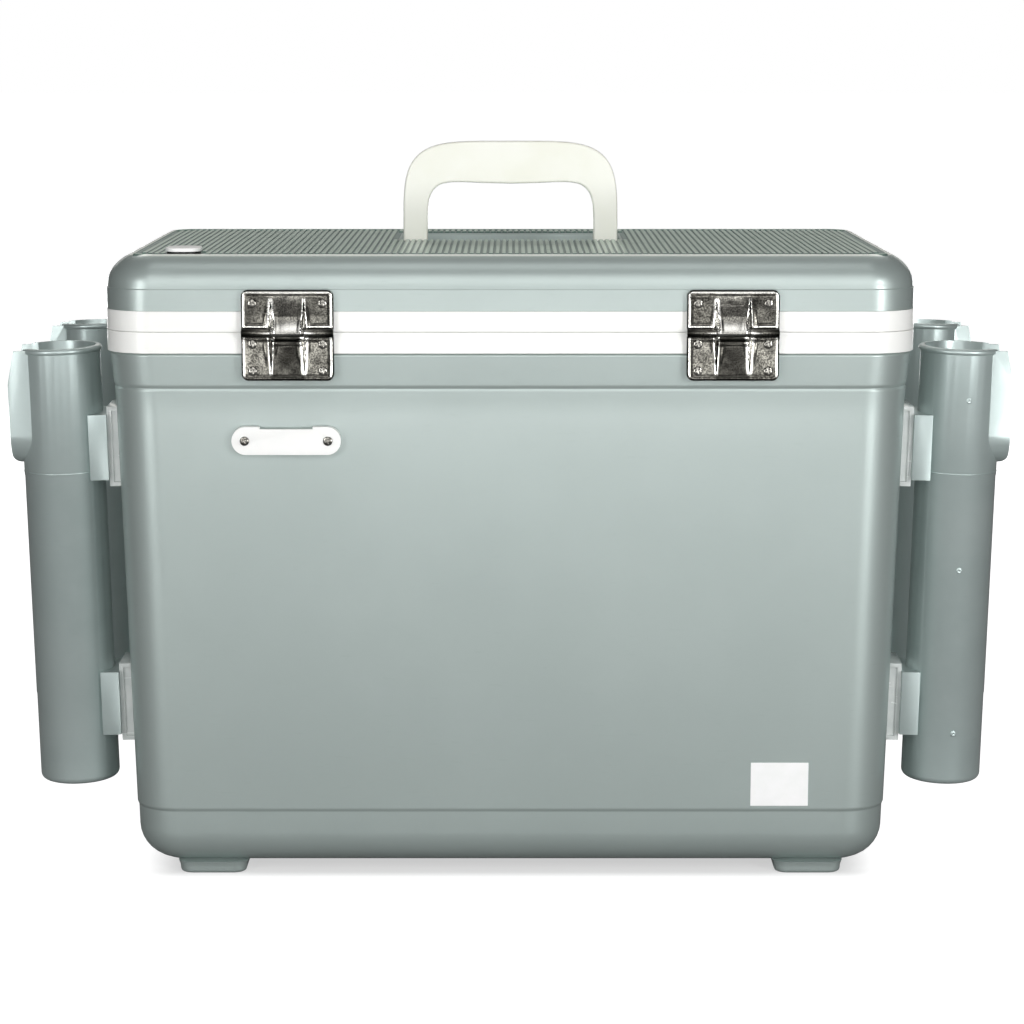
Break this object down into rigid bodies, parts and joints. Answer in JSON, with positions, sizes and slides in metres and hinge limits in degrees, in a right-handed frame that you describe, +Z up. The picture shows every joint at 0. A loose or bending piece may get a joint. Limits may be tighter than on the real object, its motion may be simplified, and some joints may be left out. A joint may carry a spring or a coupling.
{
  "type": "insulated live bait box",
  "caption": "Rectangular insulated live bait box with white rims, a hinged and latched lid, a folding handle, rod tubes on both ends and an air hose port.",
  "frame": {"origin": "on the floor under the middle of the box", "axes": "+X along the box to the right as seen from the hinge side, +Y from the hinge side to the latch side, +Z up"},
  "size_m": [0.6092, 0.297, 0.442],
  "materials": {
    "casing_plastic": "satin pearl grey",
    "tube_plastic": "gloss",
    "white_plastic": "gloss",
    "fitting_plastic": "gloss",
    "handle_plastic": "satin",
    "clear_plastic": "gloss",
    "rubber": "matte",
    "foam": "matte",
    "label_paper": "satin",
    "screw_steel": "polished",
    "polished_steel": "polished"
  },
  "bodies": {
    "box": {"outer_casing": "casing_plastic", "body_insulation": "foam", "inner_tub": "white_plastic", "blank_label": "label_paper", "hinge_lower_leaf_left": "polished_steel", "hinge_lower_leaf_right": "polished_steel", "hinge_pin_left": "polished_steel", "hinge_pin_right": "polished_steel", "hinge_lower_screws": "screw_steel", "latch_catch_left": "polished_steel", "latch_catch_right": "polished_steel", "latch_catch_screws": "screw_steel", "pump_hanger": "fitting_plastic", "pump_hanger_screws": "screw_steel", "rod_tube_back_left": "tube_plastic", "rod_tube_back_right": "tube_plastic", "rod_tube_front_left": "tube_plastic", "rod_tube_front_right": "tube_plastic", "tube_spacer_upper_back_left": "clear_plastic", "tube_spacer_upper_back_right": "clear_plastic", "tube_spacer_upper_front_left": "clear_plastic", "tube_spacer_upper_front_right": "clear_plastic", "tube_spacer_lower_back_left": "clear_plastic", "tube_spacer_lower_back_right": "clear_plastic", "tube_spacer_lower_front_left": "clear_plastic", "tube_spacer_lower_front_right": "clear_plastic", "rod_tube_screws": "screw_steel"},
    "lid": {"lid_cover": "casing_plastic", "lid_insulation": "foam", "lid_liner": "white_plastic", "lid_gasket": "rubber", "handle_pin_left": "polished_steel", "handle_pin_right": "polished_steel", "hose_port_hood": "fitting_plastic", "hose_grommet": "rubber", "hinge_upper_leaf_left": "polished_steel", "hinge_upper_leaf_right": "polished_steel", "hinge_upper_screws": "screw_steel", "latch_plate_left": "polished_steel", "latch_plate_right": "polished_steel", "latch_pin_left": "polished_steel", "latch_pin_right": "polished_steel", "latch_plate_screws": "screw_steel"},
    "carry_handle": {"handle": "handle_plastic"},
    "hasp_left": {"latch_hasp_left": "polished_steel"},
    "hasp_right": {"latch_hasp_right": "polished_steel"}
  },
  "joints": [
    {"name": "lid_hinge", "type": "hinge", "parent": "box", "child": "lid", "pos_m": [0, -0.145, 0.335], "axis": [1, 0, 0], "range_deg": [0, 105]},
    {"name": "handle_fold", "type": "hinge", "parent": "lid", "child": "carry_handle", "pos_m": [0, 0.025, 0.373], "axis": [-1, 0, 0], "range_deg": [0, 90]},
    {"name": "latch_left_swing", "type": "hinge", "parent": "lid", "child": "hasp_left", "pos_m": [-0.1313, 0.145, 0.344], "axis": [1, 0, 0], "range_deg": [-5, 120]},
    {"name": "latch_right_swing", "type": "hinge", "parent": "lid", "child": "hasp_right", "pos_m": [0.1313, 0.145, 0.344], "axis": [1, 0, 0], "range_deg": [-5, 120]}
  ]
}
